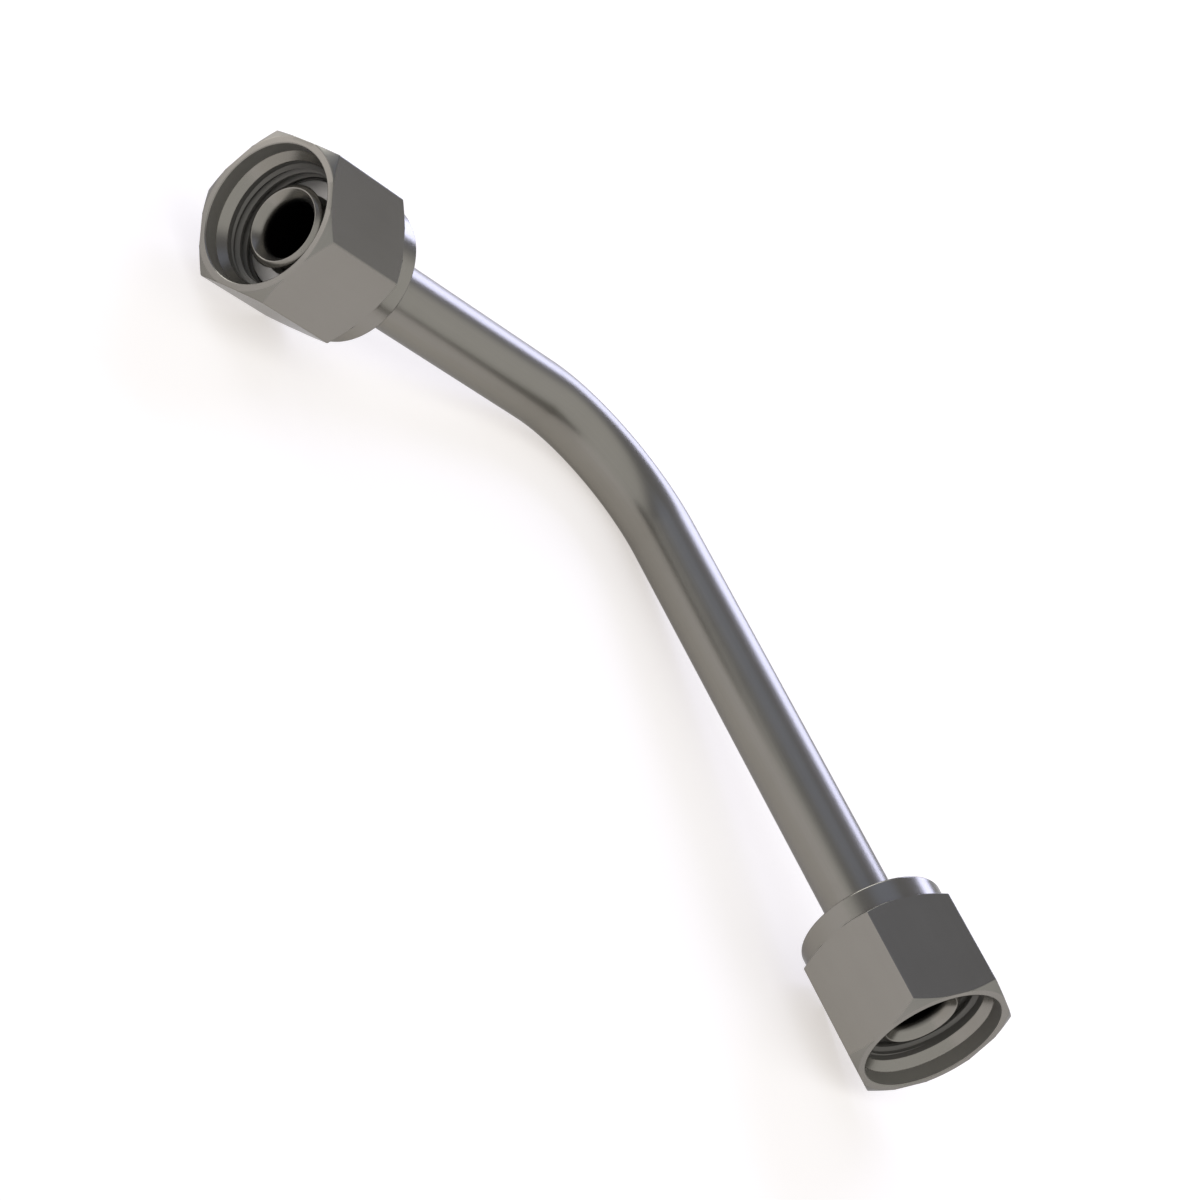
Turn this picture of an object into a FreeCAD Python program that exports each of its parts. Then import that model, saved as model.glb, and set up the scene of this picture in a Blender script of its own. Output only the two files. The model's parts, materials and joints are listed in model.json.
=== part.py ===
import FreeCAD, Part
import math
import os
from FreeCAD import Vector

# Fuel line: one steel tube with a single right-angle bend, flared at both ends.
# Behind each flare sits a loose thrust ring, and over the ring a hexagon union nut.
# All sizes are in millimetres and all angles in degrees.
#
# The line lies as it comes to rest on a flat surface: on the outside of its bend
# and on one rear corner of each nut. +Z is up and the surface is Z = 0.

# Tube: outside size, wall, and the two legs from the bend's corner to the flared ends
tube_d = 10.0
tube_wall = 1.0
bend_r = 21.0
leg_angle = 90.0
short_leg = 82.2
long_leg = 108.9

# Flare: the tube wall turned outwards, with the end face square to the wall
flare_spread = 1.3
flare_half_angle = 37.0
flare_knee_r = 1.0

# Thrust ring: wide land in front, cone that the nut bears on, thin skirt behind
ring_skirt_wall = 1.2
ring_land_height = 1.8
ring_land_len = 3.0
ring_len = 11.5
ring_shoulder_angle = 45.0
ring_seat_margin = 0.2

# Union nut: hexagon with chamfered corners and a round collar at the rear
nut_flat_wall = 0.9
hex_face_margin = 0.15
hex_chamfer_angle = 30.0
collar_step = 0.5
collar_len = 3.7
collar_edge_break = 0.3

# Nut bore, from the mouth inwards: counterbore, lead-in cone, thread, seat cone, hole
mouth_step = 1.05
mouth_depth = 2.25
lead_in_len = 1.25
thread_height = 0.75
nut_hole_len = 7.5

# Running clearances, each measured on the radius or along the axis
ring_on_tube_clearance = 0.1
ring_in_thread_clearance = 0.2
nut_on_skirt_clearance = 0.3
nut_on_shoulder_clearance = 0.4

# Where the loose pieces lie: how far each nut's mouth reaches past the tube's end,
# and how far each ring stands back from touching the flare
nut_reach = 3.73
ring_slack = 2.9

# How far each nut is turned: lean of its lowest corner towards the other leg,
# from straight below the plane of the tube
short_nut_lean = 0.0
long_nut_lean = -11.0

# How far a shape that cuts or trims another runs past its surface
cutting_margin = 1.0

# Worked out for the tube
tube_r = tube_d / 2.0
bore_r = tube_r - tube_wall
flare_angle = math.radians(flare_half_angle)
rim_r = bore_r + flare_spread
flare_edge_r = rim_r + tube_wall * math.cos(flare_angle)
flare_edge_depth = tube_wall * math.sin(flare_angle)
leg_turn = math.radians(leg_angle)
bend_start = bend_r / math.tan(leg_turn / 2.0)

# Worked out for the ring, outwards from the tube and backwards from the tube's end
ring_bore_r = tube_r + ring_on_tube_clearance
skirt_r = ring_bore_r + ring_skirt_wall
land_r = skirt_r + ring_land_height
ring_seat_r = flare_edge_r - ring_seat_margin
ring_front = flare_edge_depth + ring_seat_margin / math.tan(flare_angle) + ring_slack
ring_shoulder = ring_front + ring_land_len
shoulder_slope = math.tan(math.radians(ring_shoulder_angle))

# Worked out for the nut, outwards from the ring's land and backwards from its mouth:
# an M18 x 1.5 thread, 22 across the flats and close to 20 long
thread_r = land_r + ring_in_thread_clearance + thread_height
mouth_r = thread_r + mouth_step
flat_r = mouth_r + nut_flat_wall
hex_face_r = flat_r + hex_face_margin
collar_r = flat_r - collar_step
nut_hole_r = skirt_r + nut_on_skirt_clearance
nut_hole_start = nut_reach + ring_shoulder + (land_r - nut_hole_r) / shoulder_slope
nut_hole_start += nut_on_shoulder_clearance
nut_seat_start = nut_hole_start - (thread_r - nut_hole_r) / shoulder_slope
nut_len = nut_hole_start + nut_hole_len
hex_len = nut_len - collar_len

# Hexagon: the angle from one corner to the next, and the corner's radius
corner_turn = 60.0
corner_r = flat_r / math.cos(math.radians(corner_turn / 2.0))
corner_chamfer_rise = math.tan(math.radians(hex_chamfer_angle))

# The tube's own plane: the bend's corner is the origin, the short leg lies along +X
# and the long leg on the +Y side. Each side way points from a leg towards the other.
ORIGIN = Vector(0, 0, 0)
AXIS = Vector(0, 0, 1)
DOWN = Vector(0, 0, -1)
short_leg_way = Vector(1, 0, 0)
long_leg_way = Vector(math.cos(leg_turn), math.sin(leg_turn), 0)
short_side_way = Vector(0, 1, 0)
long_side_way = Vector(math.sin(leg_turn), -math.cos(leg_turn), 0)
bend_centre = Vector(bend_start, bend_r, 0)


# Turned shapes
# An outline is a list of (radius, distance) points in the plane through the axis.
# The distance runs along +Z, from the tube's end or the nut's mouth towards the bend.

def point(radius, distance):
    return Vector(radius, 0, distance)


def outline_edges(points):
    edges = []
    for start, end in zip(points, points[1:]):
        edges.append(Part.LineSegment(start, end).toShape())
    return edges


def turned(edges):
    face = Part.Face(Part.Wire(Part.__sortEdges__(edges)))
    return face.revolve(ORIGIN, AXIS, 360)


def turned_outline(pairs):
    points = [point(radius, distance) for radius, distance in pairs]
    return turned(outline_edges(points + points[:1]))


def on_leg(shape, leg_way, side_way, distance, lean=0.0):
    # Puts a turned shape on a leg, its axis pointing back towards the bend. Its own
    # +X is turned to point straight down out of the tube's plane, then leans.
    inward = leg_way * -1.0
    turn = math.radians(lean)
    own_x = DOWN * math.cos(turn) + side_way * math.sin(turn)
    own_y = inward.cross(own_x)
    placed = shape.copy()
    placed.Placement = FreeCAD.Placement(
        leg_way * distance, FreeCAD.Rotation(own_x, own_y, inward, "ZXY"))
    return placed


# Flared leg of the tube
# The knee arcs inside and outside the wall share one centre, so the wall keeps
# its thickness from the straight tube round into the flare.

def knee(surface_r, arc_r, corner_distance):
    centre_r = surface_r + arc_r
    centre_distance = corner_distance + arc_r * math.tan(flare_angle / 2.0)
    points = []
    for turn in (0.0, flare_angle / 2.0, flare_angle):
        radius = centre_r - arc_r * math.cos(turn)
        points.append(point(radius, centre_distance - arc_r * math.sin(turn)))
    return points


def flared_leg(length):
    rim = point(rim_r, 0)
    back_edge = point(flare_edge_r, flare_edge_depth)
    bore_corner = (rim_r - bore_r) / math.tan(flare_angle)
    back_corner = flare_edge_depth + (flare_edge_r - tube_r) / math.tan(flare_angle)
    bore_knee = knee(bore_r, flare_knee_r + tube_wall, bore_corner)
    back_knee = knee(tube_r, flare_knee_r, back_corner)
    edges = outline_edges([bore_knee[2], rim, back_edge, back_knee[2]])
    edges.append(Part.Arc(*back_knee).toShape())
    edges.append(Part.Arc(*bore_knee).toShape())
    edges += outline_edges(
        [back_knee[0], point(tube_r, length), point(bore_r, length), bore_knee[0]])
    return turned(edges)


def bent_tube():
    bend_begin = short_leg_way * bend_start
    outer = Part.Wire(Part.makeCircle(tube_r, bend_begin, short_leg_way))
    inner = Part.Wire(Part.makeCircle(bore_r, bend_begin, short_leg_way))
    section = Part.Face([outer, inner])
    bend = section.revolve(bend_centre, AXIS, leg_angle - 180.0)
    short_part = flared_leg(short_leg - bend_start)
    long_part = flared_leg(long_leg - bend_start)
    return bend.fuse([
        on_leg(short_part, short_leg_way, short_side_way, short_leg),
        on_leg(long_part, long_leg_way, long_side_way, long_leg),
    ]).removeSplitter()


# Thrust ring: its distances start at the tube's end

def thrust_ring():
    seat_depth = (ring_seat_r - ring_bore_r) / math.tan(flare_angle)
    shoulder_end = ring_shoulder + (land_r - skirt_r) / shoulder_slope
    ring_back = ring_front + ring_len
    return turned_outline([
        (ring_bore_r, ring_front + seat_depth),
        (ring_seat_r, ring_front),
        (land_r, ring_front),
        (land_r, ring_shoulder),
        (skirt_r, shoulder_end),
        (skirt_r, ring_back),
        (ring_bore_r, ring_back),
    ])


# Union nut: its distances start at its own mouth face

def hexagon():
    points = []
    for step in range(7):
        turn = math.radians(corner_turn * step)
        points.append(Vector(corner_r * math.cos(turn), corner_r * math.sin(turn), 0))
    return Part.Face(Part.makePolygon(points)).extrude(AXIS * hex_len)


def corner_chamfer_body():
    outside_r = corner_r + cutting_margin
    rise = (outside_r - hex_face_r) * corner_chamfer_rise
    return turned_outline([
        (0, 0),
        (hex_face_r, 0),
        (outside_r, rise),
        (outside_r, hex_len - rise),
        (hex_face_r, hex_len),
        (0, hex_len),
    ])


def collar():
    return turned_outline([
        (0, hex_len / 2.0),
        (collar_r, hex_len / 2.0),
        (collar_r, nut_len - collar_edge_break),
        (collar_r - collar_edge_break, nut_len),
        (0, nut_len),
    ])


def nut_bore():
    return turned_outline([
        (0, -cutting_margin),
        (mouth_r, -cutting_margin),
        (mouth_r, mouth_depth),
        (thread_r, mouth_depth + lead_in_len),
        (thread_r, nut_seat_start),
        (nut_hole_r, nut_hole_start),
        (nut_hole_r, nut_len + cutting_margin),
        (0, nut_len + cutting_margin),
    ])


def union_nut():
    body = hexagon().common(corner_chamfer_body())
    return body.fuse(collar()).cut(nut_bore()).removeSplitter()


# Rest on a flat surface
# The upward direction leans out of the tube's plane. It is found by repeating the
# three contact conditions until they agree: the outside of the bend and one rear
# corner of each nut all touch the surface.

def lowest_reach(lean, side_lean):
    # How far below its axis the nearest hexagon corner reaches
    half_turn = corner_turn / 2.0
    from_corner = (lean + side_lean + half_turn) % corner_turn - half_turn
    return corner_r * math.cos(math.radians(from_corner))


def leg_rise(up, leg_way, side_way, lean, contact, corner_height):
    # Slope of a leg whose nut touches the surface at that distance from the corner
    side_lean = math.degrees(math.atan2(up.dot(side_way), up.z))
    level = math.sqrt(1.0 - up.dot(leg_way) ** 2)
    return (lowest_reach(lean, side_lean) * level - corner_height) / contact


def resting_up():
    rear_corner = hex_len - (corner_r - hex_face_r) * corner_chamfer_rise
    contact_back = rear_corner - nut_reach
    short_contact = short_leg - contact_back
    long_contact = long_leg - contact_back
    up = AXIS
    rounds = 60
    for attempt in range(rounds):
        corner_height = tube_r + bend_r * math.hypot(up.x, up.y) - up.dot(bend_centre)
        short_rise = leg_rise(
            up, short_leg_way, short_side_way, short_nut_lean, short_contact, corner_height)
        long_rise = leg_rise(
            up, long_leg_way, long_side_way, long_nut_lean, long_contact, corner_height)
        up_y = (long_rise - short_rise * math.cos(leg_turn)) / math.sin(leg_turn)
        up = Vector(short_rise, up_y, math.sqrt(1.0 - short_rise ** 2 - up_y ** 2))
    return up


def moved(shape, placement):
    placed = shape.copy()
    placed.Placement = placement.multiply(shape.Placement)
    return placed


def resting_placement(pieces):
    # Turns the line so that it lies on Z = 0, with the middle of its box over the origin
    tilt = FreeCAD.Placement(ORIGIN, FreeCAD.Rotation(resting_up(), AXIS))
    tilted = Part.makeCompound([moved(shape, tilt) for shape in pieces.values()])
    box = tilted.optimalBoundingBox(False, False)
    middle_x = (box.XMin + box.XMax) / 2.0
    middle_y = (box.YMin + box.YMax) / 2.0
    shift = FreeCAD.Placement(Vector(-middle_x, -middle_y, -box.ZMin), FreeCAD.Rotation())
    return shift.multiply(tilt)


def fuel_line():
    nut = union_nut()
    ring = thrust_ring()
    pieces = {"tube": bent_tube()}
    for leg, leg_way, side_way, length, lean in (
            ("short_leg", short_leg_way, short_side_way, short_leg, short_nut_lean),
            ("long_leg", long_leg_way, long_side_way, long_leg, long_nut_lean)):
        mouth = length + nut_reach
        pieces[f"{leg}_thrust_ring"] = on_leg(ring, leg_way, side_way, length)
        pieces[f"{leg}_union_nut"] = on_leg(nut, leg_way, side_way, mouth, lean)
    return pieces


os.makedirs("parts", exist_ok=True)
line_pieces = fuel_line()
rest = resting_placement(line_pieces)
for name, shape in line_pieces.items():
    piece = moved(shape, rest)
    piece.exportStep(f"parts/{name}.step")
    print(name, "volume", round(piece.Volume, 1), "solids", len(piece.Solids))
print("thread bore", round(2.0 * thread_r, 2), "across flats", round(2.0 * flat_r, 2))
print("nut length", round(nut_len, 2), "hexagon length", round(hex_len, 2))
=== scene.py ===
# %% [markdown]
# # A bent steel fuel line with a union nut on each end
#
# The line is a steel tube, bent once and flared at both ends. Behind each flare sits a loose thrust
# ring, and over the ring turns a hexagon union nut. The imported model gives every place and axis.
# Here each piece is modelled again, finely enough for close light, and gets its finish.

# %% Open the frame
import json
import math

import bmesh
import bpy
from mathutils import Matrix, Vector


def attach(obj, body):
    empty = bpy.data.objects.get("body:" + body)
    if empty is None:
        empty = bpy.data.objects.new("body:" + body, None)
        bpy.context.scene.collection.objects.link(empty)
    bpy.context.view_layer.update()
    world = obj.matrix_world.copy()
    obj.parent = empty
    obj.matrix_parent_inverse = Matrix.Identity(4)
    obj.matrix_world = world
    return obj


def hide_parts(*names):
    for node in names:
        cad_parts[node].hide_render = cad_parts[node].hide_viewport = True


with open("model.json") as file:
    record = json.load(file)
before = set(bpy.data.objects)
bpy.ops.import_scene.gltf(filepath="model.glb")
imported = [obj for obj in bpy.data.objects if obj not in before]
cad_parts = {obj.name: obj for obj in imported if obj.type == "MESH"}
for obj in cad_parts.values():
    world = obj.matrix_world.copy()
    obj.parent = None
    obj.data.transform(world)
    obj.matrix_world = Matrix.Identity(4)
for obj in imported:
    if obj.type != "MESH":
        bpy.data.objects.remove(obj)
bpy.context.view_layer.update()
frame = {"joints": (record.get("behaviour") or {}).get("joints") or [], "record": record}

# %% [markdown]
# Blender works in metres and a drawing in millimetres, so sizes are written in millimetres times MM.
# A leg is one straight end of the line. Its axis, its tube end, the mouth of its nut and the way
# that one flat of the nut faces are read from the frame, so nothing has to be fitted by eye.

# %% Places of the two legs
MM = 0.001
mounts = {mount["name"]: mount for mount in frame["record"]["mounts"]}
joints = {joint["name"]: joint for joint in frame["joints"]}


def leg_places(leg):
    """The leg's outward axis, tube end, bend end, nut mouth and the facing of one nut flat."""
    outward = Vector(joints[leg + "_nut_turn"]["axis"]).normalized()
    bore = mounts[leg + "_fuel_bore"]
    mouth = mounts[leg + "_nut_mouth"]
    return {
        "outward": outward,
        "tube_end": Vector(joints[leg + "_nut_turn"]["pos_m"]),
        "bend_end": Vector(bore["pos_m"]) - outward * bore["dims"]["length_mm"] * MM / 2,
        "nut_mouth": Vector(mouth["pos_m"]) + outward * mouth["dims"]["length_mm"] * MM / 2,
        "flat_facing": Vector(mounts[leg + "_wrench_flat"]["axis"]).normalized(),
    }


legs = {leg: leg_places(leg) for leg in ("short_leg", "long_leg")}
for leg, places in legs.items():
    straight = (places["tube_end"] - places["bend_end"]).length / MM
    print(leg, "straight for", round(straight, 2), "mm")

# %% [markdown]
# An operator works on whatever is selected and active, just as a click in the window would. So every
# step first selects one piece alone. Inside edit mode, corners are picked by their place with a
# small test, because there is no mouse to click them. Two places within 0.002 mm count as the same.

# %% Select one piece, or some of its corners
TOUCHING = 0.002 * MM


def select_alone(piece):
    """Makes the piece the only selected one, and the active one."""
    bpy.ops.object.select_all(action="DESELECT")
    piece.select_set(True)
    bpy.context.view_layer.objects.active = piece


def edit_alone(piece):
    """Opens one piece for editing with nothing else selected."""
    select_alone(piece)
    bpy.ops.object.mode_set(mode="EDIT")


def pick_vertices(piece, wanted):
    """Selects the vertices whose place passes the test, in edit mode."""
    bpy.ops.mesh.select_mode(type="VERT")
    bpy.ops.mesh.select_all(action="DESELECT")
    shape = bmesh.from_edit_mesh(piece.data)
    for vertex in shape.verts:
        vertex.select = wanted(vertex.co)
    shape.select_flush(True)
    bmesh.update_edit_mesh(piece.data)


# %% [markdown]
# A turned part is one outline spun round its axis, and that is also how it is modelled. A plane is
# merged to a single vertex, the vertex is extruded from corner to corner of the half section, and
# chosen corners are rounded with a vertex bevel before the outline is spun. The outline lies in the
# XZ plane with the radius along X, so the part's own axis is Z and its mouth looks up.

# %% Draw an outline and round its corners
def draw_outline(name, corners, rounds=()):
    """Extrudes one vertex round the corners (radius, height) in mm, then rounds some of them."""
    bpy.ops.object.select_all(action="DESELECT")
    bpy.ops.mesh.primitive_plane_add(size=MM)
    piece = bpy.context.active_object
    piece.name = name
    edit_alone(piece)
    bpy.ops.mesh.select_all(action="SELECT")
    bpy.ops.mesh.merge(type="CENTER")
    places = [Vector((radius, 0, height)) * MM for radius, height in corners]
    bpy.ops.transform.translate(value=places[0])
    for here, there in zip(places, places[1:]):
        bpy.ops.mesh.extrude_vertices_move(TRANSFORM_OT_translate={"value": there - here})
    bpy.ops.mesh.select_all(action="SELECT")
    bpy.ops.mesh.remove_doubles(threshold=TOUCHING)
    for (radius, height), cut, segments in rounds:
        corner = Vector((radius, 0, height)) * MM
        pick_vertices(piece, lambda place: (place - corner).length < TOUCHING)
        bpy.ops.mesh.bevel(offset=cut * MM, segments=segments, affect="VERTICES")
    return piece


# %% [markdown]
# Spinning the outline is the lathe's turn. A Screw modifier or a curve could do it as well, but spin
# works on the mesh that is open for editing, so the seam can be merged and the faces turned
# outwards at once. 120 steps keep a 20 mm mouth round within 0.004 mm.

# %% Spin an outline
TURN_STEPS = 120


def spin_outline(piece):
    """Spins the open outline once round Z and turns its faces outwards."""
    bpy.ops.mesh.select_all(action="SELECT")
    bpy.ops.mesh.spin(steps=TURN_STEPS, angle=math.tau, center=(0, 0, 0), axis=(0, 0, 1))
    bpy.ops.mesh.select_all(action="SELECT")
    bpy.ops.mesh.remove_doubles(threshold=TOUCHING)
    bpy.ops.mesh.normals_make_consistent(inside=False)
    bpy.ops.object.mode_set(mode="OBJECT")
    return piece


def turned(name, corners, rounds=()):
    """A closed outline spun into a solid."""
    return spin_outline(draw_outline(name, corners + corners[:1], rounds))


# %% [markdown]
# Scratches and tool marks follow the way a surface was worked, not the way it lies in the world.
# So each piece remembers the place that every vertex had on the bench, in millimetres, with Z along
# the work. After that the piece is carried to its leg and the move is applied to its mesh.

# %% Remember the bench place and carry a piece to its leg
def remember(piece, places):
    """Keeps one place for each vertex, in mm, for the patterns of the finish."""
    kept = piece.data.attributes.new("work_place", "FLOAT_VECTOR", "POINT")
    kept.data.foreach_set("vector", [axis / MM for place in places for axis in place])


def axes_at(origin, z_way, x_way):
    """A placement with Z along z_way and X as near as it can be to x_way."""
    z_way = z_way.normalized()
    x_way = (x_way - z_way * x_way.dot(z_way)).normalized()
    y_way = z_way.cross(x_way)
    return Matrix.Translation(origin) @ Matrix((x_way, y_way, z_way)).transposed().to_4x4()


def carry(piece, placement):
    """Moves the piece by the placement and applies the move, so its object stays at the origin."""
    select_alone(piece)
    piece.matrix_world = placement
    bpy.ops.object.transform_apply(location=True, rotation=True, scale=True)


# %% [markdown]
# Turned surfaces are round and have to shade smoothly, while a shoulder keeps its sharp line. The
# two are told apart by the angle at each edge. Weighted normals then let the large faces win over
# the thin edge breaks, so a milled flat really looks flat.

# %% Shade smooth up to an angle
SMOOTH_LIMIT = 35


def apply_modifier(piece, modifier):
    """Turns the result of a modifier into the piece's own mesh."""
    select_alone(piece)
    bpy.ops.object.modifier_apply(modifier=modifier.name)


def smooth(piece):
    """Shades the piece smooth across all edges that turn less than the limit, in degrees."""
    select_alone(piece)
    bpy.ops.object.shade_smooth_by_angle(angle=math.radians(SMOOTH_LIMIT))
    even = piece.modifiers.new("even_flats", "WEIGHTED_NORMAL")
    even.keep_sharp = True
    apply_modifier(piece, even)


# %% [markdown]
# The tube is 10 mm across with a 1 mm wall. A flaring tool has opened each end to a 37 degree cone,
# so the wall bends at two knees and its rim stays square to the wall. The sizes of the flare follow
# from the wall, the angle and how far the bore is spread.

# %% Sizes of the tube and its flare
TUBE_RADIUS = 5.0
BORE_RADIUS = mounts["short_leg_fuel_bore"]["dims"]["r_mm"]
WALL = TUBE_RADIUS - BORE_RADIUS
FLARE_ANGLE = math.radians(37)
FLARE_SPREAD = 1.3
BORE_KNEE_RADIUS = 2.0
BACK_KNEE_RADIUS = 1.0
RIM_EDGE_BREAK = 0.15

rim_radius = BORE_RADIUS + FLARE_SPREAD
edge_radius = rim_radius + WALL * math.cos(FLARE_ANGLE)
edge_depth = WALL * math.sin(FLARE_ANGLE)
bore_knee_depth = FLARE_SPREAD / math.tan(FLARE_ANGLE)
back_knee_depth = edge_depth + (edge_radius - TUBE_RADIUS) / math.tan(FLARE_ANGLE)
knee_reach = math.tan(FLARE_ANGLE / 2)
print("flare", round(2 * edge_radius, 2), "mm across, knee", round(back_knee_depth, 2), "mm deep")

# %% [markdown]
# Each leg is one open outline spun round: up the bore, round the flare and down the outside. It is
# left open where the bend begins. Its knees are rounded like the rest of the corners, with more
# segments because the light shows them as a soft band.

# %% Turn the two flared legs of the tube
BORE_KNEE_STEPS = 8
BACK_KNEE_STEPS = 6
EDGE_STEPS = 3


def flared_leg(leg):
    """One leg on the bench: Z is outward, and the rim of the flare lies at Z = 0."""
    places = legs[leg]
    straight = (places["tube_end"] - places["bend_end"]).length / MM
    bore_knee = (BORE_RADIUS, -bore_knee_depth)
    back_knee = (TUBE_RADIUS, -back_knee_depth)
    rim = (rim_radius, 0)
    edge = (edge_radius, -edge_depth)
    corners = [(BORE_RADIUS, -straight), bore_knee, rim, edge, back_knee, (TUBE_RADIUS, -straight)]
    rounds = [
        (bore_knee, BORE_KNEE_RADIUS * knee_reach, BORE_KNEE_STEPS),
        (back_knee, BACK_KNEE_RADIUS * knee_reach, BACK_KNEE_STEPS),
        (rim, RIM_EDGE_BREAK, EDGE_STEPS),
        (edge, RIM_EDGE_BREAK, EDGE_STEPS),
    ]
    return spin_outline(draw_outline(leg + "_tube", corners, rounds))


bend_facing = legs["short_leg"]["outward"].cross(legs["long_leg"]["outward"]).normalized()
leg_tubes = {}
for leg, places in legs.items():
    leg_tubes[leg] = flared_leg(leg)
    carry(leg_tubes[leg], axes_at(places["tube_end"], places["outward"], bend_facing))
    print(leg, "tube has", len(leg_tubes[leg].data.vertices), "vertices")

# %% [markdown]
# A tube bender rolls the tube round a former, so the bend is an arc that meets both legs without a
# step. Its centre lies square to the end of either leg, and its radius follows from the two ends.

# %% Find the centre of the bend
short_way = legs["short_leg"]["outward"]
long_way = legs["long_leg"]["outward"]
short_bend_end = legs["short_leg"]["bend_end"]
long_bend_end = legs["long_leg"]["bend_end"]
half_turn = short_way.angle(long_way) / 2
bend_radius = (short_bend_end - long_bend_end).length / 2 / math.sin(math.pi / 2 - half_turn)
into_bend = (long_way - short_way * long_way.dot(short_way)).normalized()
bend_centre = short_bend_end + into_bend * bend_radius
bend_turn = math.pi - 2 * half_turn
print("bend radius", round(bend_radius / MM, 2), "mm, turn", round(math.degrees(bend_turn), 1))

# %% [markdown]
# The bend could be a curve with a round bevel, but a curve would carry only the outer skin. Here the
# two legs are joined to one mesh, and the two open circles of the short leg are spun round the
# bend's centre. That carries the outer and the inner skin together until they meet the long leg's
# circles. There the doubles are merged over a slightly wider gap, because the two rows of vertices
# were reached by different sums. No edge may be left open.

# %% Spin the bend between the legs
BEND_STEPS = 40
SEAM_GAP = 20 * TOUCHING

bpy.ops.object.select_all(action="DESELECT")
tube = leg_tubes["short_leg"]
leg_tubes["long_leg"].select_set(True)
tube.select_set(True)
bpy.context.view_layer.objects.active = tube
bpy.ops.object.join()
tube.name = "steel_tube"
edit_alone(tube)
pick_vertices(tube, lambda place: abs((place - short_bend_end).dot(short_way)) < TOUCHING)
bpy.ops.mesh.spin(steps=BEND_STEPS, angle=bend_turn, center=bend_centre, axis=bend_facing)
bpy.ops.mesh.select_all(action="SELECT")
bpy.ops.mesh.remove_doubles(threshold=SEAM_GAP)
bpy.ops.mesh.normals_make_consistent(inside=False)
bpy.ops.object.mode_set(mode="OBJECT")
tube_shape = bmesh.new()
tube_shape.from_mesh(tube.data)
open_edges = sum(not edge.is_manifold for edge in tube_shape.edges)
print("tube", len(tube.data.polygons), "faces,", open_edges, "open edges")
tube_shape.free()

# %% [markdown]
# The drawing lines of the tube were there before it was bent, so they run round the bend with it. To
# draw them, every vertex remembers where it was on the straight tube: how far across, how far out
# and how far along. On the bend the run is the arc length of the middle line.

# %% Lay the tube out straight for its finish
def straightened(place):
    """The place a point of the tube had before bending: across in X and Y, along the run in Z."""
    aside = place.dot(bend_facing) - bend_centre.dot(bend_facing)
    short_run = (place - short_bend_end).dot(short_way)
    long_run = (place - long_bend_end).dot(long_way)
    if short_run > 0:
        return Vector((aside, -(place - short_bend_end).dot(into_bend), short_run))
    if long_run > 0:
        outside = -(place - long_bend_end).dot(short_way)
        return Vector((aside, outside, -bend_radius * bend_turn - long_run))
    spoke = place - bend_centre
    spoke -= bend_facing * spoke.dot(bend_facing)
    turn = spoke.angle(-into_bend)
    return Vector((aside, spoke.length - bend_radius, -bend_radius * turn))


remember(tube, [straightened(vertex.co) for vertex in tube.data.vertices])
smooth(tube)
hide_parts("tube")
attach(tube, "tube")
print("straight length", round((bend_radius * bend_turn) / MM, 2), "mm in the bend")

# %% [markdown]
# The thrust ring is a loose sleeve behind the flare. Its front is hollowed to the 37 degree cone that
# bears on the back of the flare, a broad land takes the push of the nut, and a thin skirt runs
# back inside the nut's collar. The seat is fitted to the flare and, as in the picture, the ring
# stands a slack of 2.9 mm behind it. Fitted sizes are rounded to the micrometre.

# %% Sizes of the thrust ring
RING_BORE_RADIUS = 5.1
RING_SEAT_MARGIN = 0.2
RING_SLACK = 2.9
RING_LAND_RADIUS = 8.1
RING_SKIRT_RADIUS = 6.3
RING_LAND_LENGTH = 3.0
RING_LENGTH = 11.5
RING_EDGE_BREAK = 0.2
DECIMALS = 3

seat_radius = round(edge_radius - RING_SEAT_MARGIN, DECIMALS)
seat_reach = RING_SEAT_MARGIN / math.tan(FLARE_ANGLE)
ring_front = round(edge_depth + seat_reach + RING_SLACK, DECIMALS)
seat_depth = (seat_radius - RING_BORE_RADIUS) / math.tan(FLARE_ANGLE)
shoulder_depth = RING_LAND_LENGTH + RING_LAND_RADIUS - RING_SKIRT_RADIUS
print("ring seat", seat_radius, "mm in radius, front", ring_front, "mm behind the tube's end")

# %% [markdown]
# The ring is a plain lathe part, so one outline makes it. Three outer corners are rounded by 0.2 mm,
# as a file would break them, and the edge of the seat stays sharp, because it has to fit the flare.

# %% Turn the thrust ring
land_front = (RING_LAND_RADIUS, -ring_front)
land_back = (RING_LAND_RADIUS, -ring_front - RING_LAND_LENGTH)
skirt_back = (RING_SKIRT_RADIUS, -ring_front - RING_LENGTH)
ring_corners = [
    (RING_BORE_RADIUS, -ring_front - seat_depth),
    (seat_radius, -ring_front),
    land_front,
    land_back,
    (RING_SKIRT_RADIUS, -ring_front - shoulder_depth),
    skirt_back,
    (RING_BORE_RADIUS, -ring_front - RING_LENGTH),
]
ring_rounds = [(corner, RING_EDGE_BREAK, EDGE_STEPS) for corner in (land_front, land_back, skirt_back)]
first_ring = turned("short_leg_thrust_ring_turned", ring_corners, ring_rounds)
remember(first_ring, [vertex.co for vertex in first_ring.data.vertices])
smooth(first_ring)
print("ring", len(first_ring.data.polygons), "faces")

# %% [markdown]
# Both rings are the same part, so the second is a copy with a mesh of its own. Sharing one mesh
# would save memory, but each ring's place has to be applied to its own vertices.

# %% Copy the ring and place both
def copy_of(piece, name):
    """A second piece of the same shape, with a mesh of its own."""
    select_alone(piece)
    bpy.ops.object.duplicate()
    twin = bpy.context.active_object
    twin.name = name
    return twin


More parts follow.
